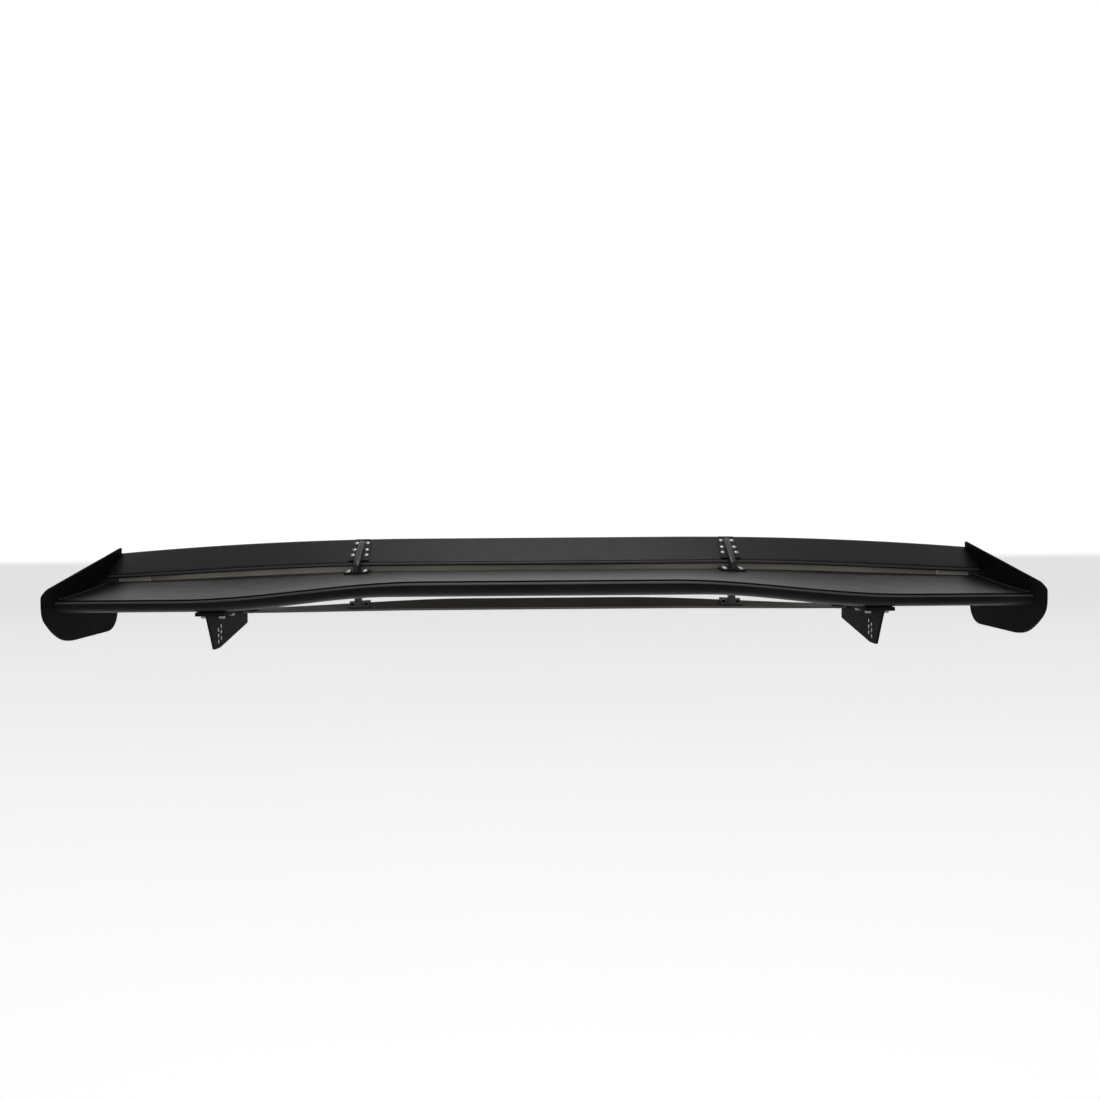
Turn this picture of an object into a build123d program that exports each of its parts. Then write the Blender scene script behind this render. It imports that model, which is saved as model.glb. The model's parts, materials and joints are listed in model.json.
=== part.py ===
from build123d import *
import os
from math import atan2, cos, hypot, pi, sin, sqrt

# A two-element racing rear wing. X runs along the span, Y from the nose (-) to the tail (+), Z is up.
# The origin is under the middle of the wing, level with the tips of the two mount plates.

# ---- driving dimensions (mm) ----
SPAN = 1500.0
DEPTH = 330.0
ENDPLATE_THICKNESS = 5.5
SKIN = 2.4
FLAP_SKIN = 1.8
GROOVE = 2.5

NOSE_Y = -130.0
SEAM_Y = -121.0
TAIL_Y = 105.0
TAIL_THICKNESS = 5.0
BELLY_FRONT_Y = -100.0
BELLY_REAR_Y = -20.0
BELLY_DROP = 0.6

FLAP_LEAD_Y = 92.0
FLAP_TAIL_Y = 163.0
FLAP_LIP = 3.0
FLAP_TAIL_THICKNESS = 3.8

SLOT_BRACKET_X = 318.6
SLOT_FIN = 10.0
MOUNT_X = 518.0
MOUNT_PLATE = 4.0
MOUNT_FLANGE_TOP = 60.6
MOUNT_FLANGE = 5.5
SLOT_RIVET_ROWS = ((112.8, 11.5), (128.0, 10.4), (147.0, 9.3))
STRIP_HALF_LENGTH = 675.0
STRIP_HEIGHT = 11.0
STATION_SPACING = 42.0

BLADE_FRONT_Y = 92.0
BLADE_REAR_Y = 118.0
BLADE_THICKNESS = 3.5

HALF_SPAN = SPAN / 2
INNER_FACE = HALF_SPAN - ENDPLATE_THICKNESS
WING_END = INNER_FACE - 0.3
SIDES = {"left": -1, "right": 1}

os.makedirs("parts", exist_ok=True)


def save(sub_part, name):
    sub_part.part.label = name
    export_step(sub_part.part, f"parts/{name}.step")


# ---- the wing's surfaces ----
def ease(x, start, end):
    """0 inboard of start, 1 outboard of end, smooth between them."""
    u = min(max((abs(x) - start) / (end - start), 0.0), 1.0)
    return u * u * (3 - 2 * u)


def seam_z(x):
    """The seam along the top of the nose: raised over the middle of the car."""
    return 106.4 - 24.9 * ease(x, 190, 560)


def belly_z(x):
    """The flat underside behind the nose."""
    return 82.0 - BELLY_DROP - 20.3 * ease(x, 243, 514)


def tail_z(x):
    """Top of the main plane's trailing edge."""
    return 112.2 - 15.7 * ease(x, 250, 830)


def flap_lead_z(x):
    return 125.4 - 20.4 * ease(x, 290, 880)


def flap_tail_z(x):
    outboard = max(abs(x) - 220.0, 0.0)
    return 166.9 - 22.5 * (outboard / 530.0) ** 2


def main_top_z(x, y):
    """Upper face: flat behind the nose, steeper toward the trailing edge."""
    run = (y - SEAM_Y) / (TAIL_Y - SEAM_Y)
    return seam_z(x) + (tail_z(x) - seam_z(x)) * max(run, 0.0) ** 1.5


def main_underside_z(x, y):
    run = max((y - BELLY_REAR_Y) / (TAIL_Y - BELLY_REAR_Y), 0.0)
    rise = tail_z(x) - TAIL_THICKNESS - belly_z(x)
    return belly_z(x) + rise * run ** 1.3


def lower_skin_outline(x):
    """From the seam round the nose, along the belly and up to the trailing edge."""
    seam = seam_z(x)
    belly = belly_z(x)
    middle = (seam + belly) / 2
    half_height = (seam - belly) / 2
    brow = SEAM_Y - NOSE_Y
    chin = BELLY_FRONT_Y - NOSE_Y
    nose = [(SEAM_Y, seam)]
    for turn in (0.4, 0.7, 1.0):
        angle = turn * pi / 2
        nose.append((SEAM_Y - brow * sin(angle), middle + half_height * cos(angle)))
    for turn in (0.25, 0.5, 0.75, 1.0):
        angle = turn * pi / 2
        nose.append((BELLY_FRONT_Y - chin * cos(angle), middle - half_height * sin(angle)))
    flat = [(y, belly) for y in (-85.0, -65.0, -42.0, BELLY_REAR_Y)]
    rear = [(y, main_underside_z(x, y)) for y in (0.0, 25.0, 50.0, 75.0, TAIL_Y)]
    return nose + flat + rear


def upper_skin_outline(x):
    start = SEAM_Y + GROOVE
    ys = (start, -90.0, -50.0, -10.0, 30.0, 70.0, TAIL_Y)
    return [(y, main_top_z(x, y)) for y in ys]


def inset(outline, distance):
    """The outline moved to its left by the distance, point by point."""
    moved = []
    for i, (y, z) in enumerate(outline):
        before = outline[max(i - 1, 0)]
        after = outline[min(i + 1, len(outline) - 1)]
        along_y = after[0] - before[0]
        along_z = after[1] - before[1]
        length = hypot(along_y, along_z)
        moved.append((y - distance * along_z / length, z + distance * along_y / length))
    return moved


def flap_frame(x):
    """Leading point, chord length and chord angle of the flap at a station."""
    rise = flap_tail_z(x) - flap_lead_z(x)
    run = FLAP_TAIL_Y - FLAP_LEAD_Y
    return flap_lead_z(x), hypot(run, rise), atan2(rise, run)


def flap_point(x, along, above):
    """A point in the flap's section, measured along its chord and square to it."""
    lead, _, angle = flap_frame(x)
    y = FLAP_LEAD_Y + along * cos(angle) - above * sin(angle)
    z = lead + along * sin(angle) + above * cos(angle)
    return (y, z)


def flap_thickness(along):
    """Thickness of the flap square to its chord: thickest a third of the way back."""
    return FLAP_TAIL_THICKNESS + 3.9 * max(1 - ((along - 27.0) / 56.0) ** 2, 0.0) ** 1.3 * (1 - along / 400)


def flap_lower_outline(x):
    chord = flap_frame(x)[1]
    section = [(FLAP_LIP, 0.0), (1.1, -0.7), (0.2, -2.2), (1.4, -4.2)]
    section += [(along, -flap_thickness(along)) for along in (8.0, 26.0, 50.0, 68.0)]
    section.append((chord, -FLAP_TAIL_THICKNESS))
    return [flap_point(x, along, above) for along, above in section]


def flap_upper_outline(x):
    chord = flap_frame(x)[1]
    return [flap_point(x, along, 0.0) for along in (FLAP_LIP + 2.0, 25.0, 45.0, 65.0, chord)]


def span_stations(half_length):
    """Evenly spaced, with one in the middle."""
    count = round(half_length / STATION_SPACING)
    return [half_length * i / count for i in range(-count, count + 1)]


def surface_plane(x, y, surface, lift=0.0):
    """A plane lying on a surface z = surface(x, y), raised along its normal."""
    step = 4.0
    slope_x = (surface(x + step, y) - surface(x - step, y)) / (2 * step)
    slope_y = (surface(x, y + step) - surface(x, y - step)) / (2 * step)
    normal = Vector(-slope_x, -slope_y, 1).normalized()
    origin = Vector(x, y, surface(x, y)) + normal * lift
    return Plane(origin=origin, x_dir=(1, 0, slope_x), z_dir=normal)


def flap_top_z(x, y):
    lead, _, angle = flap_frame(x)
    return lead + (y - FLAP_LEAD_Y) * sin(angle) / cos(angle)


def blade_top_z(x, y):
    low = blade_low_z(x) + BLADE_THICKNESS
    run = (y - BLADE_FRONT_Y) / (BLADE_REAR_Y - BLADE_FRONT_Y)
    return low + (blade_high_z(x) - low) * run


def blade_low_z(x):
    return 45.4 - 2.4 * ease(x, 200, 520)


def blade_high_z(x):
    return 63.7 - 13.7 * ease(x, 130, 530)


# ---- where the fasteners sit ----
def slot_rivet_planes(side):
    """Two columns of three on the flap, the columns closing up toward the trailing edge."""
    planes = []
    for y, half_spacing in SLOT_RIVET_ROWS:
        for column in (-1, 1):
            x = side * SLOT_BRACKET_X + column * half_spacing
            planes.append(surface_plane(x, y, flap_top_z))
    return planes


def slot_foot_planes(side):
    planes = []
    for y in (74.0, 86.5):
        for column in (-1, 1):
            x = side * SLOT_BRACKET_X + column * 13.5
            planes.append(surface_plane(x, y, main_top_z))
    return planes


def strut_foot_planes(side):
    x = side * SLOT_BRACKET_X
    return [surface_plane(x + offset, 105.0, blade_top_z) for offset in (-11.8, 11.8)]


def strut_head_planes(side):
    x = side * SLOT_BRACKET_X
    return [surface_plane(x + offset, 64.0, main_underside_z) for offset in (-10.5, 10.5)]


def mount_bolt_points(side):
    """Four bolts through each mount flange: the inboard column stands further from the plate."""
    return [(side * x, y) for x in (502.5, 528.5) for y in (-88.0, -32.0)]


def mount_hole_points():
    """Two columns of three holes in the mount plate's tip, as (y, z)."""
    front = [(-57.0, z) for z in (10.0, 19.5, 29.0)]
    rear = [(-41.0, z) for z in (14.5, 24.0, 33.5)]
    return front + rear


def endplate_screw_points():
    """(y, z) of the screws that hold an endplate: three in the main plane, two in the flap."""
    main = [(y, (main_top_z(WING_END, y) + main_underside_z(WING_END, y)) / 2) for y in (-95, -30, 35)]
    flap = [flap_point(WING_END - 6, along, -3.7) for along in (20.0, 38.0)]
    return main, flap


# ---- fasteners ----
def turned(profile):
    """A solid of revolution about Z from a closed (radius, height) outline."""
    with BuildPart() as solid:
        with BuildSketch(Plane.XZ):
            with BuildLine():
                Polyline(*profile, close=True)
            make_face()
        revolve(axis=Axis.Z)
    return solid.part


def blind_rivet(head_radius, shank_radius, grip):
    """Domed head above Z = 0, shank below it with the bulb that the mandrel pulls up."""
    bulb = shank_radius * 1.45
    dome_height = 1.9
    rim = 0.4
    dome = (head_radius ** 2 + (dome_height - rim) ** 2) / (2 * (dome_height - rim))
    shoulder = (head_radius * 0.6, dome_height - dome + sqrt(dome ** 2 - (head_radius * 0.6) ** 2))
    with BuildPart() as rivet:
        with BuildSketch(Plane.XZ):
            with BuildLine():
                Line((0, -grip - 3), (bulb, -grip - 3))
                Line((bulb, -grip - 3), (bulb, -grip - 0.3))
                Line((bulb, -grip - 0.3), (shank_radius, -grip - 0.3))
                Line((shank_radius, -grip - 0.3), (shank_radius, 0))
                Line((shank_radius, 0), (head_radius, 0))
                Line((head_radius, 0), (head_radius, rim))
                ThreePointArc((head_radius, rim), shoulder, (0, dome_height))
                Line((0, dome_height), (0, -grip - 3))
            make_face()
        revolve(axis=Axis.Z)
    return rivet.part


def button_bolt(head_radius, head_height, shank_radius, length, socket):
    with BuildPart() as bolt:
        with BuildSketch(Plane.XZ):
            with BuildLine():
                Line((0, -length), (shank_radius, -length))
                Line((shank_radius, -length), (shank_radius, 0))
                Line((shank_radius, 0), (head_radius, 0))
                Line((head_radius, 0), (head_radius, 0.5))
                ThreePointArc(
                    (head_radius, 0.5),
                    (head_radius * 0.82, head_height * 0.72),
                    (head_radius * 0.45, head_height),
                )
                Line((head_radius * 0.45, head_height), (0, head_height))
                Line((0, head_height), (0, -length))
            make_face()
        revolve(axis=Axis.Z)
        with BuildSketch(Plane.XY.offset(head_height)):
            RegularPolygon(socket / 2, 6, major_radius=False)
        extrude(amount=-head_height * 0.55, mode=Mode.SUBTRACT)
    return bolt.part


def countersunk_screw(head_radius, shank_radius, length, socket):
    """Flat head flush with Z = 0."""
    cone = head_radius - shank_radius
    profile = [
        (0, 0),
        (head_radius, 0),
        (head_radius, -0.3),
        (shank_radius, -0.3 - cone),
        (shank_radius, -length),
        (0, -length),
    ]
    with BuildPart() as screw:
        add(turned(profile))
        with BuildSketch():
            RegularPolygon(socket / 2, 6, major_radius=False)
        extrude(amount=-cone * 0.7, mode=Mode.SUBTRACT)
    return screw.part


def hex_bolt(across_flats, head_height, shank_radius, length):
    """Hexagon head above Z = 0 with its corners turned off."""
    with BuildPart() as bolt:
        with BuildSketch():
            RegularPolygon(across_flats / 2, 6, major_radius=False)
        extrude(amount=head_height)
        chamfer(bolt.faces().sort_by(Axis.Z)[-1].edges(), 0.6)
        with BuildSketch():
            Circle(shank_radius)
        extrude(amount=-length)
    return bolt.part


def hex_nut(across_flats, height, bore_radius):
    with BuildPart() as nut:
        with BuildSketch():
            RegularPolygon(across_flats / 2, 6, major_radius=False)
            Circle(bore_radius, mode=Mode.SUBTRACT)
        extrude(amount=height)
    return nut.part


def washer(outer_radius, bore_radius, thickness):
    profile = [
        (bore_radius, 0),
        (outer_radius, 0),
        (outer_radius, thickness),
        (bore_radius, thickness),
    ]
    return turned(profile)


def placed_copies(fastener, planes, name):
    """One node with a copy of the fastener on each plane."""
    with BuildPart() as group:
        for plane in planes:
            add(fastener.moved(plane.location))
    save(group, name)


# ---- lofts along the span ----
def closed_section(x, outer, inner):
    """The closed section between two curves at a station."""
    with BuildSketch(Plane.YZ.offset(x)) as section:
        with BuildLine():
            Spline(*outer)
            Line(outer[-1], inner[-1])
            Spline(*reversed(inner))
            Line(inner[0], outer[0])
        make_face()
    return section.sketch


def straight_section(x, corners):
    with BuildSketch(Plane.YZ.offset(x)) as section:
        with BuildLine():
            Polyline(*corners, close=True)
        make_face()
    return section.sketch


def shell(outline, inward, half_length):
    """Sections of a thin skin: an outline and its inset, all along the span."""
    return [closed_section(x, outline(x), inset(outline(x), inward)) for x in span_stations(half_length)]


def bar(corners, half_length):
    """Sections of a solid bar whose corners follow the span."""
    return [straight_section(x, corners(x)) for x in span_stations(half_length)]


def hole_cutters(planes, radius, depth=30.0):
    """Cylinders centred on the planes, to be taken out of the part being built."""
    return [Cylinder(radius, depth, mode=Mode.PRIVATE).moved(plane.location) for plane in planes]


def vertical_planes(points, z):
    return [Plane(origin=(x, y, z)) for x, y in points]


def spanwise_planes(side, x, points):
    """Planes facing outboard at (y, z) points, for what runs along X."""
    return [Plane(origin=(side * x, y, z), x_dir=(0, 1, 0), z_dir=(side, 0, 0)) for y, z in points]


MAIN_SCREWS, FLAP_SCREWS = endplate_screw_points()
ALL_SLOT_RIVETS = slot_rivet_planes(-1) + slot_rivet_planes(1)
ALL_SLOT_BOLTS = slot_foot_planes(-1) + slot_foot_planes(1)
ALL_STRUT_FEET = strut_foot_planes(-1) + strut_foot_planes(1)
ALL_STRUT_HEADS = strut_head_planes(-1) + strut_head_planes(1)
ALL_MOUNT_BOLTS = vertical_planes(mount_bolt_points(-1) + mount_bolt_points(1), MOUNT_FLANGE_TOP)


# ---- main plane ----
with BuildPart() as main_upper_skin:
    loft(shell(upper_skin_outline, -SKIN, WING_END))
    add(hole_cutters(ALL_SLOT_BOLTS, 3.6), mode=Mode.SUBTRACT)
save(main_upper_skin, "main_upper_skin")

with BuildPart() as main_lower_skin:
    loft(shell(lower_skin_outline, SKIN, WING_END))
    add(hole_cutters(ALL_STRUT_HEADS, 2.5), mode=Mode.SUBTRACT)
    add(hole_cutters(ALL_MOUNT_BOLTS, 3.2), mode=Mode.SUBTRACT)
save(main_lower_skin, "main_lower_skin")


def seam_strip_corners(x):
    """The bonding strip under the seam, which is the floor of the groove."""
    seam = seam_z(x)
    return [(-122.0, seam - 4.8), (-112.0, seam - 4.8), (-112.0, seam - 3.0), (-122.0, seam - 3.0)]


with BuildPart() as seam_strip:
    loft(bar(seam_strip_corners, WING_END - 12))
save(seam_strip, "seam_strip")


def spar_corners(x):
    """A web between the skins, 14 mm thick."""
    return [
        (-8.0, main_underside_z(x, -8.0) + SKIN + 0.7),
        (6.0, main_underside_z(x, 6.0) + SKIN + 0.7),
        (6.0, main_top_z(x, 6.0) - SKIN - 0.6),
        (-8.0, main_top_z(x, -8.0) - SKIN - 0.6),
    ]


with BuildPart() as main_spar:
    loft(bar(spar_corners, WING_END - 14))
save(main_spar, "main_spar")


def main_end_rib(side):
    """A solid rib inside the end of the main plane that takes the endplate's screws."""
    x = WING_END
    low = inset(lower_skin_outline(x), SKIN + 0.4)
    top = [(y, main_top_z(x, y) - SKIN - 0.5) for y in (66.0, 20.0, -30.0, -80.0, -109.0)]
    bottom = [point for point in low[5:] if point[0] < 60]
    with BuildPart() as rib:
        with BuildSketch(Plane.YZ.offset(side * (x - 12))):
            with BuildLine():
                Polyline(*bottom, *top, close=True)
            make_face()
        extrude(amount=side * 12)
        add(hole_cutters(spanwise_planes(side, x, MAIN_SCREWS), 2.55, 60), mode=Mode.SUBTRACT)
    return rib


for name, side in SIDES.items():
    save(main_end_rib(side), f"main_end_rib_{name}")


def backing_plate(side):
    """Steel plate inside the lower skin, over the mount bracket."""
    bottom = belly_z(MOUNT_X - 24) + SKIN + 0.3
    with BuildPart() as plate:
        with BuildSketch(Plane.XY.offset(bottom)):
            with Locations((side * (MOUNT_X - 2.5), -60.0)):
                RectangleRounded(42, 78, 5)
        extrude(amount=2.0)
        add(hole_cutters(ALL_MOUNT_BOLTS, 3.2), mode=Mode.SUBTRACT)
    return plate


for name, side in SIDES.items():
    save(backing_plate(side), f"mount_backing_plate_{name}")


def strip_corners(x):
    """Trim strip standing on the trailing edge."""
    top = tail_z(x) + STRIP_HEIGHT - 3.4 * ease(x, 420, STRIP_HALF_LENGTH)
    low = tail_z(x) - TAIL_THICKNESS
    front = TAIL_Y + 0.7
    return [(front, low), (front + 1.6, low), (front + 1.6, top), (front, top)]


with BuildPart() as trim_strip:
    loft(bar(strip_corners, STRIP_HALF_LENGTH))
save(trim_strip, "trim_strip")


def strip_end(side):
    """A separate short length of strip beside the trim strip, which stops a little short of the endplate."""
    inboard = STRIP_HALF_LENGTH + 0.6
    outboard = WING_END - 15.0
    stations = (inboard, (inboard + outboard) / 2, outboard)
    with BuildPart() as end:
        loft([straight_section(side * x, strip_corners(x)) for x in stations])
    return end


for name, side in SIDES.items():
    save(strip_end(side), f"strip_end_{name}")


# ---- flap ----
with BuildPart() as flap_upper_skin:
    loft(shell(flap_upper_outline, -FLAP_SKIN, WING_END))
    add(hole_cutters(ALL_SLOT_RIVETS, 2.1), mode=Mode.SUBTRACT)
save(flap_upper_skin, "flap_upper_skin")

with BuildPart() as flap_lower_skin:
    loft(shell(flap_lower_outline, FLAP_SKIN, WING_END))
    add(hole_cutters(ALL_SLOT_RIVETS, 2.1), mode=Mode.SUBTRACT)
save(flap_lower_skin, "flap_lower_skin")


def flap_spar_corners(x):
    return [flap_point(x, along, above) for along, above in ((11, -4.3), (17, -4.9), (17, -2.1), (11, -2.1))]


with BuildPart() as flap_spar:
    loft(bar(flap_spar_corners, WING_END - 14))
save(flap_spar, "flap_spar")


def flap_end_rib(side):
    section = ((12, -4.3), (20, -5.1), (46, -4.6), (46, -2.2), (12, -2.2))
    sketches = []
    for x in (WING_END - 12, WING_END):
        corners = [flap_point(x, along, above) for along, above in section]
        sketches.append(straight_section(side * x, corners))
    with BuildPart() as rib:
        loft(sketches)
        add(hole_cutters(spanwise_planes(side, WING_END, FLAP_SCREWS), 1.3, 60), mode=Mode.SUBTRACT)
    return rib


for name, side in SIDES.items():
    save(flap_end_rib(side), f"flap_end_rib_{name}")


# ---- endplates ----
def endplate(side):
    """A flat moulded plate: sloping straight top, rounded lower front, cranked rear edge."""
    front = -DEPTH / 2
    rear = DEPTH / 2
    with BuildPart() as plate:
        with BuildSketch(Plane.YZ.offset(side * INNER_FACE)):
            with BuildLine():
                Line((front, 77), (front, 86))
                Spline((front, 86), (-158, 93.5), (-137, 101), tangents=((0.1, 1), (1, 0.175)))
                Line((-137, 101), (rear, 154))
                Spline((rear, 154), (157, 100), (139, 42), tangents=((0, -1), (-0.3, -1)))
                Spline((139, 42), (126, 24), (93, 14), tangents=((-0.3, -1), (-1, -0.05)))
                Line((93, 14), (-50, 14))
                Spline(
                    (-50, 14),
                    (-101, 21),
                    (-149, 46),
                    (front, 77),
                    tangents=((-1, 0), (0, 1)),
                )
            make_face()
        extrude(amount=side * ENDPLATE_THICKNESS)
        outer_face = plate.faces().sort_by(Axis.X)[-1 if side > 0 else 0]
        fillet(outer_face.edges(), 2.0)
        with Locations(*spanwise_planes(side, HALF_SPAN, MAIN_SCREWS)):
            CounterSinkHole(2.7, 5.0)
        with Locations(*spanwise_planes(side, HALF_SPAN, FLAP_SCREWS)):
            CounterSinkHole(1.45, 3.1)
    return plate


main_screw = countersunk_screw(4.6, 2.5, 16, 3.0)
flap_screw = countersunk_screw(2.7, 1.25, 14, 2.0)
for name, side in SIDES.items():
    save(endplate(side), f"endplate_{name}")
    placed_copies(main_screw, spanwise_planes(side, HALF_SPAN, MAIN_SCREWS), f"endplate_main_screws_{name}")
    placed_copies(flap_screw, spanwise_planes(side, HALF_SPAN, FLAP_SCREWS), f"endplate_flap_screws_{name}")


def sealant_bead(side):
    """A thin bead in the corner between the main plane's top and the endplate."""
    ys = (-116.0, -80.0, -40.0, 0.0, 40.0, 80.0, 103.0)
    low = [(y, main_top_z(WING_END, y) + 0.15) for y in ys]
    top = [(y, z + 2.0) for y, z in low]
    with BuildPart() as bead:
        loft([
            closed_section(side * (INNER_FACE - 2.6), low, [(y, z - 1.2) for y, z in top]),
            closed_section(side * (INNER_FACE - 0.05), low, top),
        ])
    return bead


for name, side in SIDES.items():
    save(sealant_bead(side), f"sealant_bead_{name}")


# ---- slot brackets: flap to main plane ----
def slot_bracket(side):
    """Flange on the flap, fin over the slot and foot on the main plane, welded as one T section."""
    x = side * SLOT_BRACKET_X
    flange_plane = surface_plane(x, 128.0, flap_top_z, 0.15)
    foot_plane = surface_plane(x, 85.0, main_top_z, 0.15)
    lead = flap_lead_z(x)
    foot_z = main_top_z(x, 90.0)
    with BuildPart() as bracket:
        with BuildSketch(flange_plane):
            with BuildLine():
                Polyline((-17.6, -34), (17.6, -34), (14, 36.5), (-14, 36.5), close=True)
            make_face()
            fillet(vertices(), 3.0)
        extrude(amount=2.5)
        with BuildSketch(foot_plane):
            with Locations((0, 0.5)):
                RectangleRounded(42, 36, 5)
        extrude(amount=3.0)
        with BuildSketch(Plane.YZ.offset(x - SLOT_FIN / 2)):
            with BuildLine():
                Polyline(
                    (69.5, foot_z + 1.0),
                    (89.5, foot_z + 1.6),
                    (89.5, lead + 1.0),
                    (97.0, flap_top_z(x, 97.0) + 1.3),
                    (156.0, flap_top_z(x, 156.0) + 1.3),
                    (152.0, 163.6),
                    (146.0, 161.8),
                    (97.0, 136.5),
                    (70.0, 121.5),
                    close=True,
                )
            make_face()
        extrude(amount=SLOT_FIN)
        add(hole_cutters(slot_rivet_planes(side), 2.1), mode=Mode.SUBTRACT)
        add(hole_cutters(slot_foot_planes(side), 2.7), mode=Mode.SUBTRACT)
    return bracket


def slot_insert():
    """Threaded insert set in the skin, flush with its face."""
    return turned([(2.52, -5.4), (3.5, -5.4), (3.5, 0.0), (2.52, 0.0)])


def slot_rivets(side, name):
    """Each row's rivets are as long as the flange and the flap are thick there."""
    with BuildPart() as group:
        for i, plane in enumerate(slot_rivet_planes(side)):
            row_y = SLOT_RIVET_ROWS[i // 2][0]
            along = (row_y - FLAP_LEAD_Y) / cos(flap_frame(SLOT_BRACKET_X)[2])
            rivet = blind_rivet(4.0, 2.0, 2.75 + flap_thickness(along) + 0.5)
            add(rivet.moved(plane.offset(2.75).location))
    save(group, name)


slot_bolt = button_bolt(4.75, 2.7, 2.5, 8.3, 3.0)
for name, side in SIDES.items():
    save(slot_bracket(side), f"slot_bracket_{name}")
    on_foot = [plane.offset(3.4) for plane in slot_foot_planes(side)]
    slot_rivets(side, f"slot_bracket_rivets_{name}")
    placed_copies(slot_bolt, on_foot, f"slot_foot_bolts_{name}")
    placed_copies(slot_insert(), slot_foot_planes(side), f"slot_foot_inserts_{name}")


# ---- lower cross blade and its struts ----
def blade_corners(x):
    low = blade_low_z(x)
    high = blade_high_z(x)
    return [
        (BLADE_FRONT_Y, low),
        (BLADE_REAR_Y, high - BLADE_THICKNESS),
        (BLADE_REAR_Y, high),
        (BLADE_FRONT_Y, low + BLADE_THICKNESS),
    ]


BLADE_HALF_LENGTH = MOUNT_X - MOUNT_PLATE / 2 - 0.2
TAB_X = BLADE_HALF_LENGTH - 12.0
TAB_BOLT = (105.0, 62.5)


def tab_blade_plane(side):
    return surface_plane(side * TAB_X, 105.0, blade_top_z)


with BuildPart() as cross_blade:
    loft(bar(blade_corners, BLADE_HALF_LENGTH))
    add(hole_cutters(ALL_STRUT_FEET, 2.1), mode=Mode.SUBTRACT)
    add(hole_cutters([tab_blade_plane(-1), tab_blade_plane(1)], 2.7), mode=Mode.SUBTRACT)
save(cross_blade, "cross_blade")


def lower_strut(side):
    """Foot on the cross blade, upright web, head under the main plane near its trailing edge."""
    x = side * SLOT_BRACKET_X
    with BuildPart() as strut:
        foot = []
        for station in (x - 17.8, x, x + 17.8):
            low = [(y, blade_top_z(station, y) + 0.2) for y in (93, 117)]
            high = [(y, blade_top_z(station, y) + 4.2) for y in (117, 93)]
            foot.append(straight_section(station, low + high))
        loft(foot)
        with BuildSketch(surface_plane(x, 79.0, main_underside_z, -0.3)):
            RectangleRounded(30, 46, 3)
        extrude(amount=-3.0)
        with BuildSketch(Plane.YZ.offset(x - 5.5)):
            with BuildLine():
                Polyline(
                    (93.5, blade_top_z(x, 93.5) + 2.5),
                    (103.0, blade_top_z(x, 103.0) + 2.5),
                    (101.5, main_underside_z(x, 101.5) - 1.5),
                    (72.0, main_underside_z(x, 72.0) - 1.5),
                    (72.0, main_underside_z(x, 72.0) - 5.0),
                    close=True,
                )
            make_face()
        extrude(amount=11.0)
        add(hole_cutters(strut_foot_planes(side), 2.1), mode=Mode.SUBTRACT)
        add(hole_cutters(strut_head_planes(side), 2.5), mode=Mode.SUBTRACT)
    return strut


def flipped(plane, lift):
    """The same plane facing the other way, moved along its own normal first."""
    return Plane(origin=plane.origin + plane.z_dir * lift, x_dir=plane.x_dir, z_dir=-plane.z_dir)


foot_rivet = blind_rivet(4.0, 2.0, 7.9)
head_rivet = blind_rivet(4.8, 2.4, 6.1)
for name, side in SIDES.items():
    save(lower_strut(side), f"lower_strut_{name}")
    on_foot = [plane.offset(4.3) for plane in strut_foot_planes(side)]
    under_head = [flipped(plane, -3.9) for plane in strut_head_planes(side)]
    placed_copies(foot_rivet, on_foot, f"strut_foot_rivets_{name}")
    placed_copies(head_rivet, under_head, f"strut_head_rivets_{name}")


# ---- mount brackets ----
def blade_tab(side):
    """Angle on top of the cross blade's end, bolted to the blade and to the mount plate."""
    plane = tab_blade_plane(side)
    outer_x = side * BLADE_HALF_LENGTH
    with BuildPart() as tab:
        with BuildSketch(plane.offset(0.4)):
            Rectangle(22, 20)
        extrude(amount=2.5)
        front_low = blade_top_z(BLADE_HALF_LENGTH, 95.5) + 0.8
        rear_low = blade_top_z(BLADE_HALF_LENGTH, 114.5) + 0.8
        with BuildSketch(Plane.YZ.offset(outer_x)):
            with BuildLine():
                Polyline((95.5, front_low), (114.5, rear_low), (114.5, 70.0), (95.5, 70.0), close=True)
            make_face()
        extrude(amount=-side * 2.5)
        add(hole_cutters([plane], 2.7), mode=Mode.SUBTRACT)
        add(hole_cutters(spanwise_planes(side, MOUNT_X, [TAB_BOLT]), 2.7), mode=Mode.SUBTRACT)
    return tab


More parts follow.
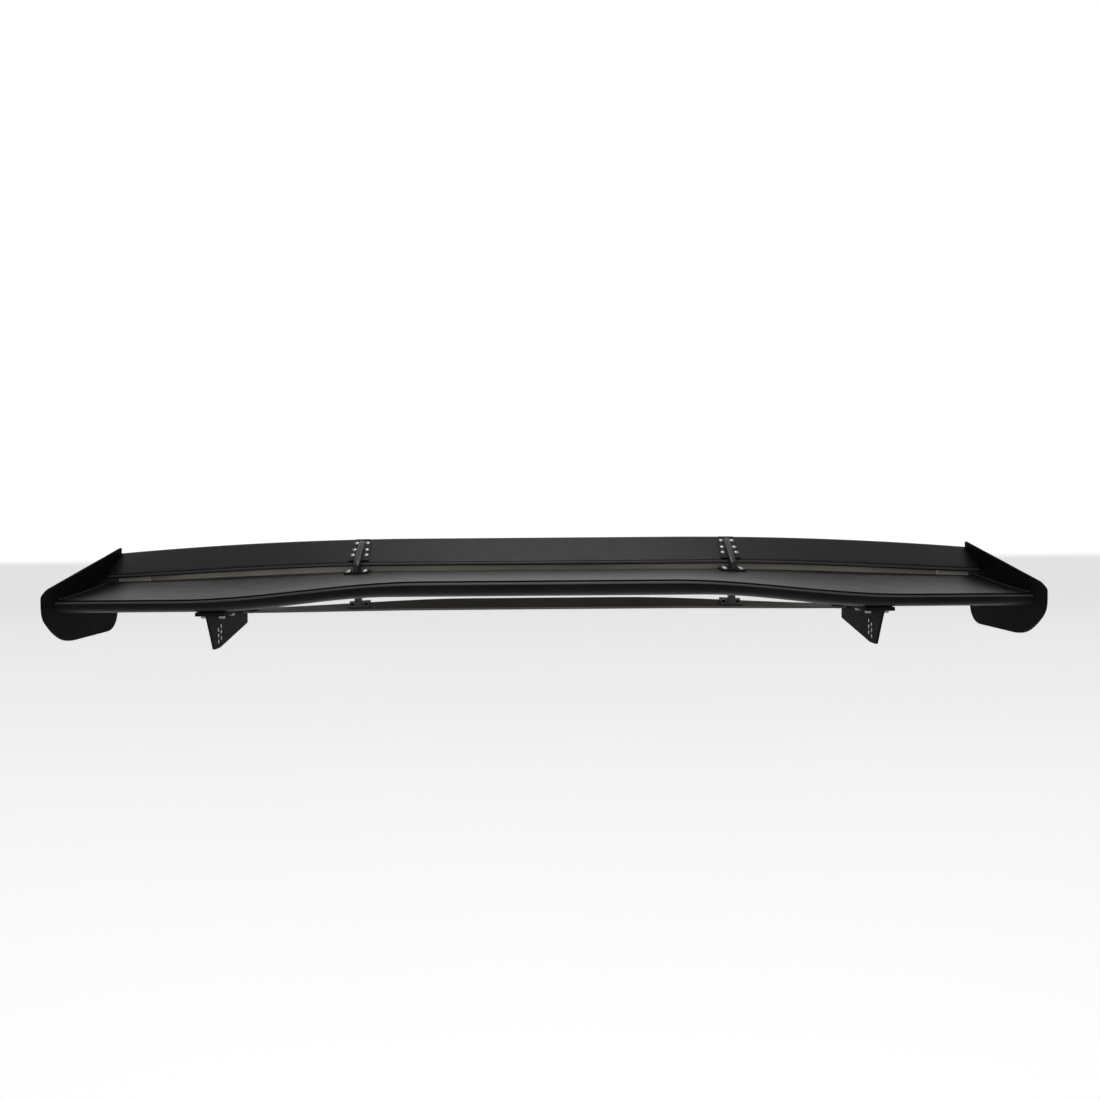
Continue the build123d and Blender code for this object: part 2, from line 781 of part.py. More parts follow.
def mount_bracket(side):
    """Horizontal flange under the main plane and a tapered plate below it with the mounting holes."""
    inner = side * (MOUNT_X - MOUNT_PLATE / 2)
    flange_bottom = MOUNT_FLANGE_TOP - MOUNT_FLANGE
    with BuildPart() as bracket:
        with BuildSketch(Plane.XY.offset(flange_bottom)):
            with Locations((side * (MOUNT_X - 4.5), -58.0)):
                RectangleRounded(45, 120, 4)
        extrude(amount=MOUNT_FLANGE)
        with BuildSketch(Plane.YZ.offset(inner)):
            with BuildLine():
                Polyline(
                    (-116.0, flange_bottom + 1.0),
                    (-78.0, 0.0),
                    (-48.0, 0.0),
                    (128.0, 24.0),
                    (130.0, 72.0),
                    (88.0, 72.0),
                    (64.0, flange_bottom + 1.0),
                    (2.0, flange_bottom + 1.0),
                    close=True,
                )
            make_face()
            fillet(vertices().filter_by(lambda corner: corner.X > 80 or corner.Y < 1), 2.5)
        extrude(amount=side * MOUNT_PLATE)
        lengthwise = bracket.edges().filter_by(Axis.Y)
        at_flange = lengthwise.filter_by(lambda edge: abs(edge.center().Z - flange_bottom) < 0.01)
        bends = at_flange.filter_by(lambda edge: abs(abs(edge.center().X) - MOUNT_X) < 3)
        fillet(bends, 1.5)
        add(hole_cutters(vertical_planes(mount_bolt_points(side), MOUNT_FLANGE_TOP), 3.2), mode=Mode.SUBTRACT)
        add(hole_cutters(spanwise_planes(side, MOUNT_X, mount_hole_points()), 3.2), mode=Mode.SUBTRACT)
        add(hole_cutters(spanwise_planes(side, MOUNT_X, [TAB_BOLT]), 2.7), mode=Mode.SUBTRACT)
    return bracket


mount_bolt = hex_bolt(10.0, 4.0, 3.0, 17.5)
mount_nut = hex_nut(10.0, 5.0, 3.02)
mount_washer = washer(6.0, 3.05, 1.2)
tab_bolt = button_bolt(4.75, 2.7, 2.5, 8.8, 3.0)
tab_nut = hex_nut(8.0, 2.2, 2.52)
NUT_Z = belly_z(MOUNT_X - 24) + SKIN + 2.4
for name, side in SIDES.items():
    points = mount_bolt_points(side)
    flange_bottom = vertical_planes(points, MOUNT_FLANGE_TOP - MOUNT_FLANGE)
    plate_face = spanwise_planes(side, MOUNT_X + MOUNT_PLATE / 2, [TAB_BOLT])
    tab_plane = tab_blade_plane(side)
    save(mount_bracket(side), f"mount_bracket_{name}")
    placed_copies(mount_washer, [flipped(p, -0.1) for p in flange_bottom], f"mount_washers_{name}")
    placed_copies(mount_bolt, [flipped(p, -1.4) for p in flange_bottom], f"mount_bolts_{name}")
    placed_copies(mount_nut, vertical_planes(points, NUT_Z), f"mount_nuts_{name}")
    save(blade_tab(side), f"blade_tab_{name}")
    bolt_planes = [tab_plane.offset(3.0), plate_face[0].offset(0.1)]
    nut_planes = [flipped(tab_plane, -BLADE_THICKNESS - 0.2), flipped(plate_face[0], -MOUNT_PLATE - 2.9)]
    placed_copies(tab_bolt, bolt_planes, f"blade_tab_bolts_{name}")
    placed_copies(tab_nut, nut_planes, f"blade_tab_nuts_{name}")
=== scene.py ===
import json
from math import atan2, cos, hypot, pi, radians, sin

import bmesh
import bpy
from mathutils import Euler, Matrix, Vector


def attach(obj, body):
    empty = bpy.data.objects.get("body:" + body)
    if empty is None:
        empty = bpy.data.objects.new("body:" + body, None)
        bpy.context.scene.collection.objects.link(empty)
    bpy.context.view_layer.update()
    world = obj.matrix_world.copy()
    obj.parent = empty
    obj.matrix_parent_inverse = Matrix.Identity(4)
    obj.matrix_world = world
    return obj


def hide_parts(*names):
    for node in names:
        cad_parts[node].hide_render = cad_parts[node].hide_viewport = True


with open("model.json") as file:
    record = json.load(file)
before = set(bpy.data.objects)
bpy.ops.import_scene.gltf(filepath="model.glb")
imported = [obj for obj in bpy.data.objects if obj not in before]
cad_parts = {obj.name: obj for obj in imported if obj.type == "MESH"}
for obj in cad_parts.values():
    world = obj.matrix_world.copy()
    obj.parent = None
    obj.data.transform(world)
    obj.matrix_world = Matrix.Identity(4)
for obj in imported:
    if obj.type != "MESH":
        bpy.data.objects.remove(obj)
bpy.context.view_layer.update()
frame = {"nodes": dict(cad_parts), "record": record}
nodes = frame["nodes"]
MM = 0.001
SIDES = {"left": -1, "right": 1}

# ---- camera: low in front of the nose, a little above the wing ----
CAMERA_PLACE = Vector((-0.009, -1.909, 0.2025))
CAMERA_LENS_MM = 38.43
CAMERA_PITCH = radians(-1.6)
CAMERA_YAW = radians(-0.51)
CAMERA_ROLL = radians(-0.433)


def add_camera():
    data = bpy.data.cameras.new("camera")
    data.lens = CAMERA_LENS_MM
    data.sensor_width = 36.0
    data.clip_start = 0.05
    data.clip_end = 60.0
    camera = bpy.data.objects.new("camera", data)
    bpy.context.scene.collection.objects.link(camera)
    level = Euler((radians(90), 0, 0)).to_matrix().to_4x4()
    pitch = Matrix.Rotation(CAMERA_PITCH, 4, "X")
    yaw = Matrix.Rotation(CAMERA_YAW, 4, "Z")
    roll = Matrix.Rotation(CAMERA_ROLL, 4, "Z")
    camera.matrix_world = Matrix.Translation(CAMERA_PLACE) @ yaw @ pitch @ level @ roll
    bpy.context.scene.camera = camera


# ---- shader helpers ----
def new_material(name):
    material = bpy.data.materials.new(name)
    material.use_nodes = True
    tree = material.node_tree
    tree.nodes.clear()
    shader = tree.nodes.new("ShaderNodeBsdfPrincipled")
    output = tree.nodes.new("ShaderNodeOutputMaterial")
    tree.links.new(shader.outputs["BSDF"], output.inputs["Surface"])
    return material, tree, shader


def noise(tree, scale, detail=3.0, roughness=0.5):
    """A noise value fixed to the object, finer as the scale grows."""
    place = tree.nodes.new("ShaderNodeTexCoord")
    texture = tree.nodes.new("ShaderNodeTexNoise")
    texture.inputs["Scale"].default_value = scale
    texture.inputs["Detail"].default_value = detail
    texture.inputs["Roughness"].default_value = roughness
    tree.links.new(place.outputs["Object"], texture.inputs["Vector"])
    return texture.outputs["Fac"]


def ramp(tree, value, stops):
    """A colour ramp over the value: stops are (position, grey or colour)."""
    node = tree.nodes.new("ShaderNodeValToRGB")
    elements = node.color_ramp.elements
    while len(elements) < len(stops):
        elements.new(0.5)
    for element, (position, colour) in zip(elements, stops):
        element.position = position
        if isinstance(colour, (int, float)):
            colour = (colour, colour, colour)
        element.color = (*colour, 1.0)
    tree.links.new(value, node.inputs["Fac"])
    return node.outputs["Color"]


def map_range(tree, value, low, high):
    """The value spread so that low gives 0 and high gives 1."""
    node = tree.nodes.new("ShaderNodeMapRange")
    node.inputs["From Min"].default_value = low
    node.inputs["From Max"].default_value = high
    tree.links.new(value, node.inputs["Value"])
    return node.outputs["Result"]


def bump(tree, shader, height, strength, distance):
    """Small relief in the shading; the mesh stays as it is."""
    node = tree.nodes.new("ShaderNodeBump")
    node.inputs["Strength"].default_value = strength
    node.inputs["Distance"].default_value = distance
    tree.links.new(height, node.inputs["Height"])
    tree.links.new(node.outputs["Normal"], shader.inputs["Normal"])


# ---- materials ----
DUST_COLOUR = (0.30, 0.30, 0.29, 1.0)
SPECK_THRESHOLD = 0.735
SPECK_FULL = 0.76
ORANGE_PEEL_STRENGTH = 0.10
ORANGE_PEEL_DEPTH = 0.0003
METAL_SHADE = 0.90


def gelcoat_material(name, dark, light, rough_low, rough_high, dust=0.0, specular=0.4):
    """Gel coat straight from the mould: slight mottling, orange peel and a few specks of dust."""
    material, tree, shader = new_material(name)
    colour = ramp(tree, noise(tree, 9.0, 5.0, 0.55), [(0.3, dark), (0.7, light)])
    if dust:
        specks = ramp(tree, noise(tree, 520.0, 2.0, 0.5), [(SPECK_THRESHOLD, 0.0), (SPECK_FULL, dust)])
        mixer = tree.nodes.new("ShaderNodeMix")
        mixer.data_type = "RGBA"
        mixer.inputs["B"].default_value = DUST_COLOUR
        tree.links.new(specks, mixer.inputs["Factor"])
        tree.links.new(colour, mixer.inputs["A"])
        colour = mixer.outputs["Result"]
    tree.links.new(colour, shader.inputs["Base Color"])
    rough = ramp(tree, noise(tree, 26.0, 4.0, 0.6), [(0.3, rough_low), (0.7, rough_high)])
    tree.links.new(rough, shader.inputs["Roughness"])
    shader.inputs["Specular IOR Level"].default_value = specular
    bump(tree, shader, noise(tree, 420.0, 2.0, 0.5), ORANGE_PEEL_STRENGTH, ORANGE_PEEL_DEPTH)
    return material


def metal_material(name, colour, rough, metallic=1.0, grain=300.0):
    """Metal with a slightly uneven colour and polish; grain is how fine the unevenness is."""
    material, tree, shader = new_material(name)
    shade = tuple(METAL_SHADE * channel for channel in colour)
    tint = ramp(tree, noise(tree, grain), [(0.35, shade), (0.65, colour)])
    tree.links.new(tint, shader.inputs["Base Color"])
    roughness = ramp(tree, noise(tree, grain * 0.6), [(0.3, rough * 0.8), (0.7, rough * 1.25)])
    tree.links.new(roughness, shader.inputs["Roughness"])
    shader.inputs["Metallic"].default_value = metallic
    return material


def paint_middle_sheen(material, sheen_grey, half_width):
    """Painted sheen: a paler base colour over the middle of the span, standing in for the overhead light's
    reflection, fading out at half_width.
    """
    tree = material.node_tree
    shader = next(node for node in tree.nodes if node.type == "BSDF_PRINCIPLED")
    colour = shader.inputs["Base Color"].links[0].from_socket
    place = tree.nodes.new("ShaderNodeTexCoord")
    split = tree.nodes.new("ShaderNodeSeparateXYZ")
    tree.links.new(place.outputs["Object"], split.inputs["Vector"])
    distance = tree.nodes.new("ShaderNodeMath")
    distance.operation = "ABSOLUTE"
    tree.links.new(split.outputs["X"], distance.inputs[0])
    fade = ramp(tree, map_range(tree, distance.outputs[0], half_width, 0.0), [(0.0, 0.0), (0.6, 1.0)])
    mixer = tree.nodes.new("ShaderNodeMix")
    mixer.data_type = "RGBA"
    mixer.inputs["B"].default_value = (sheen_grey, sheen_grey, sheen_grey, 1.0)
    tree.links.new(fade, mixer.inputs["Factor"])
    tree.links.new(colour, mixer.inputs["A"])
    tree.links.new(mixer.outputs["Result"], shader.inputs["Base Color"])


GELCOAT = gelcoat_material(
    "gelcoat_black", dark=0.007, light=0.011,
    rough_low=0.34, rough_high=0.44, dust=0.5, specular=0.30,
)
TOP = gelcoat_material(
    "gelcoat_top_painted_sheen", dark=0.003, light=0.006,
    rough_low=0.33, rough_high=0.42, dust=0.5, specular=0.17,
)
# Painted sheen: the top's base colour is paler over the middle of the span, standing in for the overhead
# light's reflection there.
paint_middle_sheen(TOP, sheen_grey=0.090, half_width=0.52)
GROOVE_BLACK = gelcoat_material(
    "groove_black", dark=0.007, light=0.010,
    rough_low=0.50, rough_high=0.60, dust=0.0, specular=0.03,
)
# Painted shade: the flap's underside is a darker, duller copy of the gel coat, standing in for the shadow
# under the flap.
FLAP_UNDER_SHADE = gelcoat_material(
    "flap_underside_painted_shade", dark=0.004, light=0.006,
    rough_low=0.45, rough_high=0.55, dust=0.0, specular=0.03,
)
NOSE = gelcoat_material(
    "gelcoat_nose", dark=0.010, light=0.015,
    rough_low=0.36, rough_high=0.46, dust=0.15, specular=0.03,
)
BLADE = gelcoat_material(
    "blade_dark", dark=(0.110, 0.101, 0.088), light=(0.140, 0.129, 0.112),
    rough_low=0.45, rough_high=0.55, dust=0.0, specular=0.05,
)
# Painted highlight: a lighter copy of the gel coat on the lips of the nose and the flap's leading edge,
# standing in for the light they catch.
LIP_HIGHLIGHT = gelcoat_material(
    "gelcoat_lip_painted_highlight", dark=0.045, light=0.062,
    rough_low=0.40, rough_high=0.52, dust=0.0, specular=0.5,
)
ENDPLATE = gelcoat_material(
    "endplate_black", dark=0.006, light=0.009,
    rough_low=0.46, rough_high=0.58, dust=0.3, specular=0.004,
)
BRACKET = gelcoat_material(
    "bracket_black", dark=0.010, light=0.015,
    rough_low=0.42, rough_high=0.55, dust=0.0, specular=0.25,
)
FIN = gelcoat_material(
    "fin_black", dark=0.012, light=0.018,
    rough_low=0.26, rough_high=0.36, dust=0.0, specular=0.6,
)
PLATE = gelcoat_material(
    "mount_plate_black", dark=0.007, light=0.011,
    rough_low=0.50, rough_high=0.60, dust=0.0, specular=0.01,
)
# Bare metal trim strip; its brown tint is a painted reflection of a warm floor.
STRIP = metal_material("strip_metal_warm_reflection_tint", (0.50, 0.46, 0.41), rough=0.50, metallic=0.8, grain=9.0)
STRIP_END = metal_material("strip_end_brown", (0.97, 0.91, 0.84), rough=0.55, metallic=0.2, grain=9.0)
BOLT_STEEL = metal_material("bolt_steel", (0.30, 0.30, 0.30), rough=0.4)
ZINC = metal_material("zinc", (0.80, 0.80, 0.78), rough=0.30)
BLACK_OXIDE = metal_material("black_oxide", (0.03, 0.03, 0.03), rough=0.45)
STEEL = metal_material("bare_steel", (0.45, 0.45, 0.45), rough=0.35)
HOLE_METAL = metal_material("hole_metal", (0.85, 0.85, 0.83), rough=0.5)
LAMINATE = gelcoat_material(
    "raw_laminate", dark=(0.42, 0.40, 0.26), light=(0.52, 0.50, 0.36),
    rough_low=0.5, rough_high=0.7,
)
SEALANT = gelcoat_material(
    "sealant", dark=0.008, light=0.012,
    rough_low=0.35, rough_high=0.5, dust=0.0, specular=0.06,
)
SLOT_MATERIALS = {
    "gelcoat": GELCOAT,
    "laminate_core": LAMINATE,
    "trim_strip": STRIP,
    "strip_ends": STRIP_END,
    "sealant": SEALANT,
    "zinc_fasteners": ZINC,
    "black_screws": BLACK_OXIDE,
    "backing_steel": STEEL,
    "coated_brackets": BRACKET,
}


def dress_cad_nodes():
    """Each CAD node's material, by its slot and with a few nodes told apart by name."""
    slots = {part["node"]: part["material_slot"] for part in frame["record"]["subparts"]}
    for name, node in nodes.items():
        material = SLOT_MATERIALS[slots[name]]
        if name in ("endplate_left", "endplate_right"):
            material = ENDPLATE
        if name.startswith(("mount_bracket", "blade_tab_left", "blade_tab_right")):
            material = PLATE
        if name == "cross_blade":
            material = BLADE
        if name.startswith("strut_"):
            material = BRACKET
        if name.startswith("mount_bolts"):
            material = BOLT_STEEL
        if not node.material_slots:
            node.data.materials.append(material)
        for slot in node.material_slots:
            slot.material = material


# ---- the wing's surfaces, in mm, from the CAD's formulas ----
SEAM_Y = -121.0
NOSE_Y = -130.0
BELLY_FRONT_Y = -100.0
BELLY_REAR_Y = -20.0
TAIL_Y = 105.0
TAIL_THICKNESS = 5.0
SEAM_HEIGHT = 106.4
SEAM_FALL = 24.9
BELLY_HEIGHT = 81.4
BELLY_FALL = 20.3
TAIL_HEIGHT = 112.2
TAIL_FALL = 15.7
SKIN = 2.4
FLAP_LEAD_Y = 92.0
FLAP_TAIL_Y = 163.0
FLAP_SKIN = 1.8
FLAP_TAIL_THICKNESS = 3.8
FLAP_LEAD_HEIGHT = 125.4
FLAP_LEAD_FALL = 20.4
FLAP_TAIL_HEIGHT = 166.9
FLAP_TAIL_DROOP = 22.5
FLAP_DROOP_START = 220.0
FLAP_DROOP_RUN = 530.0
WING_END = 744.2
STATIONS = 160
# Only here, not in the CAD: the lower skin's lip lies this far below the seam, and the nose's top with it.
LIP_DROP = 2.5


def ease(x, start, end):
    """0 inboard of start, 1 outboard of end, smooth between them."""
    u = min(max((abs(x) - start) / (end - start), 0.0), 1.0)
    return u * u * (3 - 2 * u)


def seam_z(x):
    return SEAM_HEIGHT - SEAM_FALL * ease(x, 190, 560)


def belly_z(x):
    return BELLY_HEIGHT - BELLY_FALL * ease(x, 243, 514)


def tail_z(x):
    return TAIL_HEIGHT - TAIL_FALL * ease(x, 250, 830)


def main_top_z(x, y):
    run = (y - SEAM_Y) / (TAIL_Y - SEAM_Y)
    return seam_z(x) + (tail_z(x) - seam_z(x)) * max(run, 0.0) ** 1.5


def main_underside_z(x, y):
    run = max((y - BELLY_REAR_Y) / (TAIL_Y - BELLY_REAR_Y), 0.0)
    return belly_z(x) + (tail_z(x) - TAIL_THICKNESS - belly_z(x)) * run ** 1.3


def flap_frame(x):
    """Leading point, chord length and chord angle of the flap at a station."""
    lead = FLAP_LEAD_HEIGHT - FLAP_LEAD_FALL * ease(x, 290, 880)
    droop = max(abs(x) - FLAP_DROOP_START, 0.0) / FLAP_DROOP_RUN
    tail = FLAP_TAIL_HEIGHT - FLAP_TAIL_DROOP * droop ** 2
    run = FLAP_TAIL_Y - FLAP_LEAD_Y
    return lead, hypot(run, tail - lead), atan2(tail - lead, run)


def flap_point(x, along, above):
    """A point in the flap's section, measured along its chord and square to it."""
    lead, _, angle = flap_frame(x)
    y = FLAP_LEAD_Y + along * cos(angle) - above * sin(angle)
    z = lead + along * sin(angle) + above * cos(angle)
    return (y, z)


def flap_thickness(along):
    hump = max(1 - ((along - 27.0) / 56.0) ** 2, 0.0) ** 1.3
    return FLAP_TAIL_THICKNESS + 3.9 * hump * (1 - along / 400)


def spread(start, end, count):
    """Evenly spaced values, both ends included."""
    return [start + (end - start) * i / (count - 1) for i in range(count)]


def rounded_edge(corner, radius, start_angle, end_angle, steps):
    """Points on about a quarter turn round an edge, as (y, z)."""
    angles = spread(radians(start_angle), radians(end_angle), steps)
    return [(corner[0] + radius * cos(angle), corner[1] + radius * sin(angle)) for angle in angles]


def main_upper_section(x):
    """Closed section of the upper skin, starting at its front edge, which steps down to the lower skin."""
    start = SEAM_Y + 0.6
    top = [(y, main_top_z(x, y)) for y in spread(start + 0.5, TAIL_Y - 0.6, 40)]
    under = [(y, main_top_z(x, y) - SKIN) for y in spread(TAIL_Y, start, 24)]
    edge = rounded_edge((start + 0.5, top[0][1] - 0.5), 0.5, 175, 95, 4)
    tail = rounded_edge((TAIL_Y - 0.6, top[-1][1] - 0.6), 0.6, 80, 0, 4)
    return edge + top + tail + under


def main_lower_section(x):
    """Closed section of the lower skin: lip, nose, belly and underside, then back inside."""
    seam = seam_z(x) - LIP_DROP
    belly = belly_z(x)
    middle = (seam + belly) / 2
    half_height = (seam - belly) / 2
    brow = SEAM_Y - NOSE_Y
    chin = BELLY_FRONT_Y - NOSE_Y
    outer = [(SEAM_Y + 4.0, seam), (SEAM_Y + 2.0, seam), (SEAM_Y, seam)]
    for angle in spread(radians(8), radians(90), 16):
        outer.append((SEAM_Y - brow * sin(angle), middle + half_height * cos(angle)))
    for angle in spread(radians(6), radians(90), 16):
        outer.append((BELLY_FRONT_Y - chin * cos(angle), middle - half_height * sin(angle)))
    outer += [(y, belly) for y in spread(-96.0, BELLY_REAR_Y, 12)]
    outer += [(y, main_underside_z(x, y)) for y in spread(-14.0, TAIL_Y, 24)]
    inner = [(y, main_underside_z(x, y) + SKIN) for y in spread(TAIL_Y, -14.0, 16)]
    inner += [(y, belly + SKIN) for y in spread(BELLY_REAR_Y, -98.0, 6)]
    for angle in spread(radians(90), radians(0), 8):
        inner.append((BELLY_FRONT_Y - (chin - SKIN) * cos(angle), middle - (half_height - SKIN) * sin(angle)))
    for angle in spread(radians(75), radians(0), 6):
        inner.append((SEAM_Y - (brow - SKIN) * sin(angle), middle + (half_height - SKIN) * cos(angle)))
    inner.append((SEAM_Y + 4.0, seam - SKIN))
    return outer + inner


def flap_upper_section(x):
    """Closed section of the flap's upper skin, from behind the lip round the tail and back inside."""
    chord = flap_frame(x)[1]
    top = [flap_point(x, along, 0.0) for along in spread(5.2, chord - 0.5, 20)]
    tail = [flap_point(x, chord - 0.15, -0.2), flap_point(x, chord, -0.6)]
    under = [flap_point(x, along, -FLAP_SKIN) for along in spread(chord, 5.0, 14)]
    front = [flap_point(x, 4.6, -0.9), flap_point(x, 4.8, -0.3)]
    return top + tail + under + front


def flap_lower_section(x):
    """The lower skin wraps round the leading edge and ends in a lip on top of it."""
    chord = flap_frame(x)[1]
    front = [(6.0, -0.9), (4.4, -0.9), (3.0, -0.9), (2.0, -1.1), (1.2, -1.6), (0.55, -2.3), (0.25, -3.1)]
    front += [(0.3, -3.9), (0.7, -4.7), (1.5, -5.5)]
    outer = [flap_point(x, along, above) for along, above in front]
    outer += [flap_point(x, along, -flap_thickness(along)) for along in spread(3.6, chord, 26)]
    inner = [flap_point(x, along, -flap_thickness(along) + FLAP_SKIN) for along in spread(chord, 6.0, 16)]
    inner += [flap_point(x, 3.2, -3.2), flap_point(x, 4.4, -2.4), flap_point(x, 6.0, -2.4)]
    return outer + inner


# ---- building pieces from rings of points ----
def bridge(sheet, ring, following):
    """Smooth faces between two neighbouring closed rings, one for each row of points."""
    faces = []
    for i in range(len(ring)):
        j = (i + 1) % len(ring)
        face = sheet.faces.new((ring[i], following[i], following[j], ring[j]))
        face.smooth = True
        faces.append(face)
    return faces


def close_ends(sheet, rings):
    for ring in (rings[0], rings[-1]):
        sheet.faces.new(ring)


def finish_piece(name, sheet, materials, sharp_degrees):
    """The faces as a piece of the wing, smooth but with its sharp corners kept."""
    bmesh.ops.recalc_face_normals(sheet, faces=sheet.faces)
    mesh = bpy.data.meshes.new(name)
    sheet.to_mesh(mesh)
    sheet.free()
    mesh.set_sharp_from_angle(angle=radians(sharp_degrees))
    for material in materials:
        mesh.materials.append(material)
    piece = bpy.data.objects.new(name, mesh)
    bpy.context.scene.collection.objects.link(piece)
    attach(piece, "root")
    return piece


def swept_skin(name, section, materials, edge_rows=()):
    """A skin swept along the span; the edge rows of its faces take the second material."""
    sheet = bmesh.new()
    rings = []
    for x in spread(-WING_END, WING_END, STATIONS + 1):
        rings.append([sheet.verts.new((x * MM, y * MM, z * MM)) for y, z in section(x)])
    for ring, following in zip(rings, rings[1:]):
        for row, face in enumerate(bridge(sheet, ring, following)):
            if row in edge_rows:
                face.material_index = 1
    close_ends(sheet, rings)
    return finish_piece(name, sheet, materials, 38)


def add_skins():
    last_row = len(main_upper_section(0.0)) - 1
    step_rows = (last_row, 0, 1)
    upper = swept_skin("main_upper_visual", main_upper_section, (TOP, GROOVE_BLACK), step_rows)
    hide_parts("main_upper_skin")
    # The nose's lip rows take the painted highlight.
    lower = swept_skin("main_lower_visual", main_lower_section, (NOSE, LIP_HIGHLIGHT), range(0, 10))
    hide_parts("main_lower_skin")
    flap_upper = swept_skin("flap_upper_visual", flap_upper_section, (GELCOAT,))
    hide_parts("flap_upper_skin")
    # The flap's lower skin is in painted shade, with the painted highlight on its lip rows.
    flap_lower = swept_skin("flap_lower_visual", flap_lower_section, (FLAP_UNDER_SHADE, LIP_HIGHLIGHT), range(0, 6))
    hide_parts("flap_lower_skin")


# ---- fasteners, fin edges and hole walls ----
SLOT_BRACKET_X = 318.6
SLOT_RIVET_ROWS = ((112.8, 11.5), (128.0, 10.4), (147.0, 9.3))
FLANGE_TOP = 2.75
MOUNT_X = 518.0
MOUNT_PLATE = 4.0
MOUNT_HOLES = [(-57.0, 10.0), (-57.0, 19.5), (-57.0, 29.0), (-41.0, 14.5), (-41.0, 24.0), (-41.0, 33.5)]
MOUNT_HOLE_RADIUS = 3.2
HOLE_WALL = 0.3
HOLE_WALL_MARGIN = 0.1


def turned_copies(name, profile, places, material, steps=28):
    """The same closed (radius, height) outline turned round each place's own axis, as one piece."""
    sheet = bmesh.new()
    for place in places:
        rings = []
        for turn in range(steps):
            angle = 2 * pi * turn / steps
            ring = []
            for radius, height in profile:
                point = Vector((radius * cos(angle), radius * sin(angle), height))
                ring.append(sheet.verts.new((place @ point) * MM))
            rings.append(ring)
        for turn, ring in enumerate(rings):
            bridge(sheet, ring, rings[(turn + 1) % steps])
    return finish_piece(name, sheet, (material,), 35)


def flap_top_z(x, y):
    lead, _, angle = flap_frame(x)
    return lead + (y - FLAP_LEAD_Y) * sin(angle) / cos(angle)


def surface_place(x, y, surface, lift):
    """A matrix whose Z axis stands on a surface z = surface(x, y)."""
    step = 4.0
    slope_x = (surface(x + step, y) - surface(x - step, y)) / (2 * step)
    slope_y = (surface(x, y + step) - surface(x, y - step)) / (2 * step)
    normal = Vector((-slope_x, -slope_y, 1)).normalized()
    across = Vector((1, 0, slope_x)).normalized()
    origin = Vector((x, y, surface(x, y))) + normal * lift
    turn = Matrix((across, normal.cross(across), normal)).transposed().to_4x4()
    return Matrix.Translation(origin) @ turn


def add_slot_rivets():
    """Domed blind rivet heads with the broken mandrel standing in a dimple."""
    profile = [(0.02, -1.2), (2.0, -1.2), (2.0, 0.0), (3.8, 0.0), (4.0, 0.18), (4.0, 0.4), (3.6, 0.86)]
    profile += [(3.0, 1.3), (2.2, 1.66), (1.5, 1.82), (1.15, 1.84), (1.0, 1.7), (0.95, 1.25), (0.8, 1.2)]
    profile += [(0.72, 1.62), (0.5, 1.72), (0.02, 1.7)]
    for name, side in SIDES.items():
        places = []
        for y, half_spacing in SLOT_RIVET_ROWS:
            for column in (-1, 1):
                x = side * SLOT_BRACKET_X + column * half_spacing
                places.append(surface_place(x, y, flap_top_z, FLANGE_TOP))
        rivets = turned_copies(f"slot_rivet_heads_{name}", profile, places, ZINC)
        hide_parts(f"slot_bracket_rivets_{name}")


FIN_WIDTH = 9.8
FIN_EDGE_HEIGHT = 2.4
FIN_EDGE_SINK = 0.6
FIN_EDGE_STEPS = 13


def fin_edge(name, x):
    """A rounded edge laid over a slot bracket's fin, from its foot up its front and along its top.

    It is only here: the CAD's fin has a flat edge, and this stands up to 2.4 mm proud of it.
    """
    path = [(69.6, main_top_z(x, 70.0) + 3.5), (69.8, 116.0), (71.5, 122.0), (76.0, 125.5)]
    path += [(97.0, 136.9), (120.0, 148.8), (142.0, 159.8), (148.0, 162.0)]
    sheet = bmesh.new()
    rings = []
    for i, (y, z) in enumerate(path):
        before = path[max(i - 1, 0)]
        after = path[min(i + 1, len(path) - 1)]
        run = after[0] - before[0]
        rise = after[1] - before[1]
        length = hypot(run, rise)
        ring = []
        for angle in spread(-pi / 2, pi / 2, FIN_EDGE_STEPS):
            out = FIN_EDGE_HEIGHT * cos(angle) - FIN_EDGE_SINK
            across = FIN_WIDTH / 2 * sin(angle)
            point = Vector((x + across, y - out * rise / length, z + out * run / length))
            ring.append(sheet.verts.new(point * MM))
        rings.append(ring)
    for ring, following in zip(rings, rings[1:]):
        bridge(sheet, ring, following)
    close_ends(sheet, rings)
    finish_piece(name, sheet, (FIN,), 60)


def add_fin_edges():
    for name, side in SIDES.items():
        fin_edge(f"fin_edge_{name}", side * SLOT_BRACKET_X)


def add_hole_walls():
    """Bare metal showing inside the holes of the mount plates."""
    reach = MOUNT_PLATE / 2 - HOLE_WALL_MARGIN
    inner_radius = MOUNT_HOLE_RADIUS - HOLE_WALL
    wall = [(inner_radius, -reach), (MOUNT_HOLE_RADIUS, -reach)]
    wall += [(MOUNT_HOLE_RADIUS, reach), (inner_radius, reach)]
    for name, side in SIDES.items():
        places = []
        for y, z in MOUNT_HOLES:
            along_span = Matrix.Rotation(radians(90), 4, "Y")
            places.append(Matrix.Translation((side * MOUNT_X, y, z)) @ along_span)
        turned_copies(f"mount_hole_walls_{name}", wall, places, HOLE_METAL)


# ---- floor, backdrop and light ----
FLOOR_Z = -1.2
FLOOR_FRONT_Y = -40.0
FLOOR_BACK_Y = 46.0
FLOOR_HALF_WIDTH = 60.0


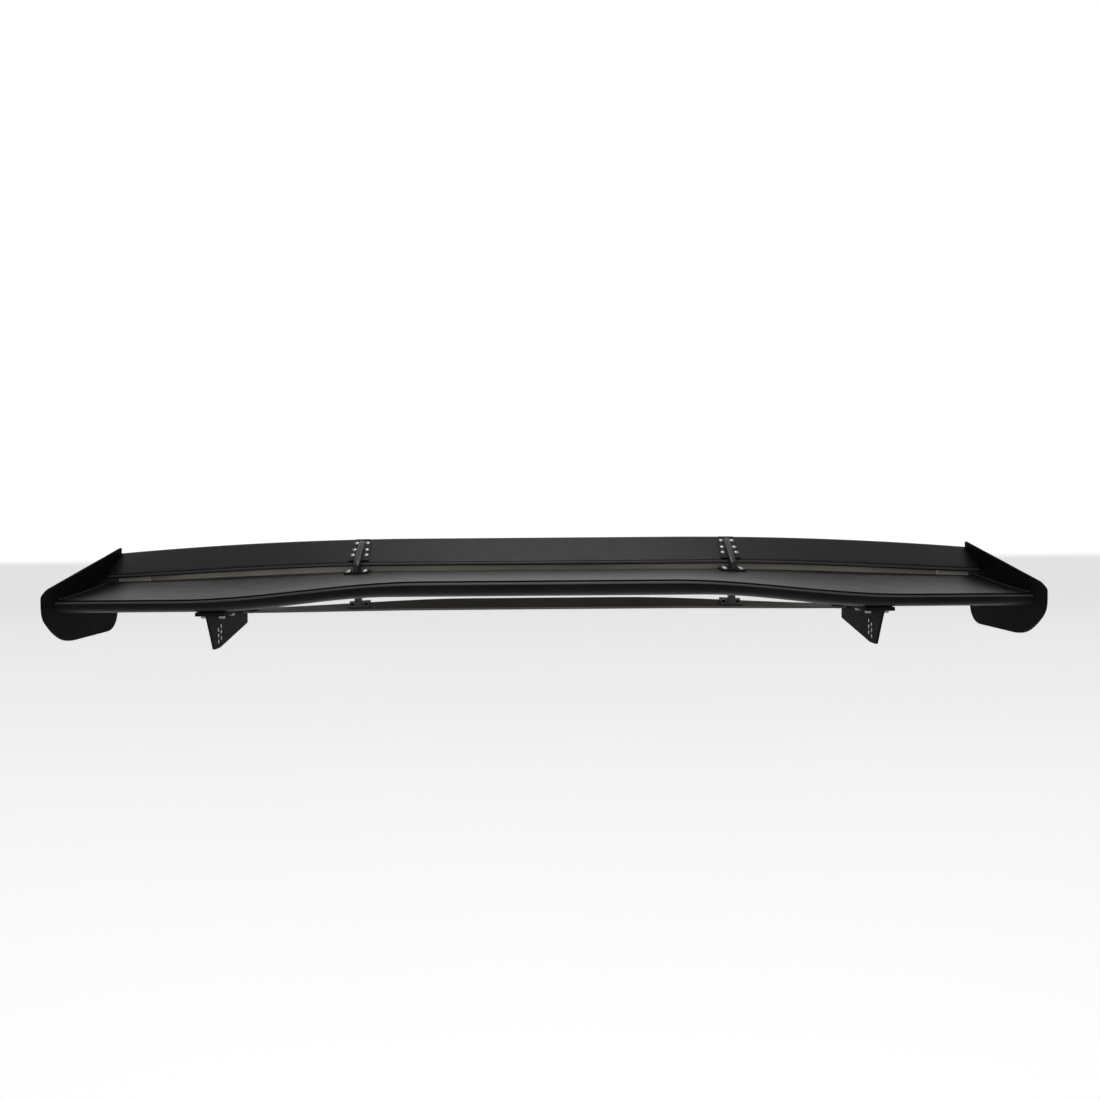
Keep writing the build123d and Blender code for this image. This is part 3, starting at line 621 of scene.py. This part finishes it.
def stage_material():
    """Pale paper that glows a little, like a light table."""
    material, tree, shader = new_material("pale_floor")
    colour = ramp(tree, noise(tree, 0.7, 2.0), [(0.3, 0.80), (0.7, 0.82)])
    tree.links.new(colour, shader.inputs["Base Color"])
    place = tree.nodes.new("ShaderNodeTexCoord")
    split = tree.nodes.new("ShaderNodeSeparateXYZ")
    tree.links.new(place.outputs["Object"], split.inputs["Vector"])
    depth = map_range(tree, split.outputs["Y"], 0.0, FLOOR_BACK_Y)
    glow = ramp(tree, depth, [(0.02, 0.70), (0.15, 0.58), (0.4, 0.48), (0.76, 0.48), (1.0, 1.0)])
    tree.links.new(glow, shader.inputs["Emission Color"])
    shader.inputs["Emission Strength"].default_value = 1.0
    shader.inputs["Roughness"].default_value = 0.9
    return material


def add_stage():
    """A wide floor far below the wing."""
    mesh = bpy.data.meshes.new("floor")
    sheet = bmesh.new()
    depth = spread(FLOOR_FRONT_Y, FLOOR_BACK_Y, 5)
    rows = []
    for x in (-FLOOR_HALF_WIDTH, FLOOR_HALF_WIDTH):
        rows.append([sheet.verts.new((x, y, FLOOR_Z)) for y in depth])
    for i in range(len(depth) - 1):
        sheet.faces.new((rows[0][i], rows[1][i], rows[1][i + 1], rows[0][i + 1]))
    sheet.to_mesh(mesh)
    sheet.free()
    floor = bpy.data.objects.new("floor", mesh)
    bpy.context.scene.collection.objects.link(floor)
    floor.data.materials.append(stage_material())


def add_area_light(name, place, target, size_x, size_y, power):
    data = bpy.data.lights.new(name, "AREA")
    data.shape = "RECTANGLE"
    data.size = size_x
    data.size_y = size_y
    data.energy = power
    light = bpy.data.objects.new(name, data)
    bpy.context.scene.collection.objects.link(light)
    aim = Vector(target) - Vector(place)
    light.matrix_world = Matrix.Translation(place) @ aim.to_track_quat("-Z", "Y").to_matrix().to_4x4()


def add_world():
    """A studio that is white behind the wing and dim in front of it and at its sides."""
    world = bpy.data.worlds.new("studio")
    bpy.context.scene.world = world
    world.use_nodes = True
    tree = world.node_tree
    background = tree.nodes["Background"]
    place = tree.nodes.new("ShaderNodeTexCoord")
    split = tree.nodes.new("ShaderNodeSeparateXYZ")
    tree.links.new(place.outputs["Generated"], split.inputs["Vector"])
    depth = map_range(tree, split.outputs["Y"], -1.0, 1.0)
    grey = ramp(tree, depth, [(0.0, 0.36), (0.3, 0.27), (0.5, 0.10), (0.74, 0.20), (0.93, 1.0)])
    tree.links.new(grey, background.inputs["Color"])
    background.inputs["Strength"].default_value = 1.05


def add_lights():
    """The plain display transform keeps the backdrop white and the gel coat black."""
    bpy.context.scene.view_settings.view_transform = "Standard"
    add_world()
    add_area_light("overhead", (0, 0.4, 1.8), (0, 0, 0.1), 1.0, 0.9, 7)


add_camera()
dress_cad_nodes()
add_skins()
add_slot_rivets()
add_fin_edges()
add_hole_walls()
add_stage()
add_lights()
